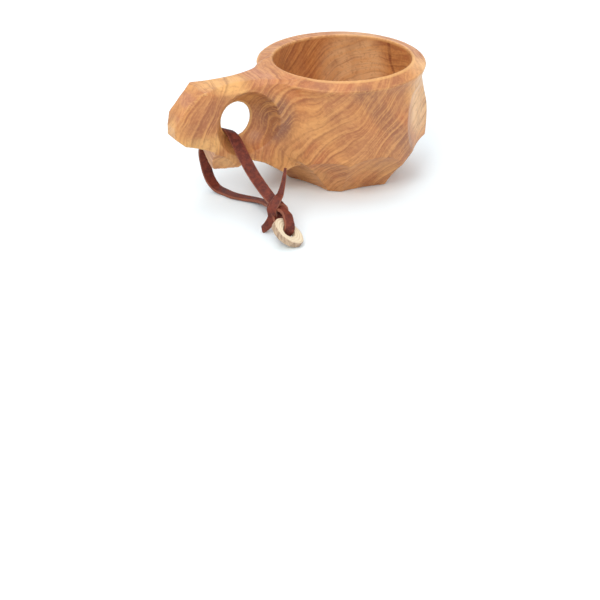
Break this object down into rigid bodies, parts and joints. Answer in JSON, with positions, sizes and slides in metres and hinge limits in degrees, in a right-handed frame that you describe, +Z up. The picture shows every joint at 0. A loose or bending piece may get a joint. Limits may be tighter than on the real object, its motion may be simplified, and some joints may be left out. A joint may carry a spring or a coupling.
{
  "type": "kuksa wooden cup",
  "caption": "Carved wooden drinking cup with a deep round bowl, a stubby faceted handle with a finger hole, and a knotted leather lace carrying an antler slice.",
  "frame": {"origin": "on the bowl's axis, in the plane of the flat base that the cup stands on", "axes": "+Z up along the bowl's axis; the handle points to -X; the finger hole runs along Y"},
  "size_m": [0.1514, 0.1242, 0.068],
  "materials": {
    "birch": "hand-carved birch burl with wavy figure, oiled to a satin sheen",
    "leather": "red-brown vegetable-tanned lace with a smooth face and paler cut edges",
    "antler": "sawn reindeer antler, cream and polished, with a porous core and a brown bark edge"
  },
  "bodies": {
    "cup": {"cup_body": "birch", "lace": "leather", "lace_knot": "leather"},
    "antler": {"antler_ring": "antler"}
  },
  "joints": [
    {"name": "antler_turn", "type": "hinge", "parent": "cup", "child": "antler", "pos_m": [-0.0725, -0.0699, 0.00674], "axis": [0.3283, -0.5153, 0.7916], "continuous": true}
  ]
}
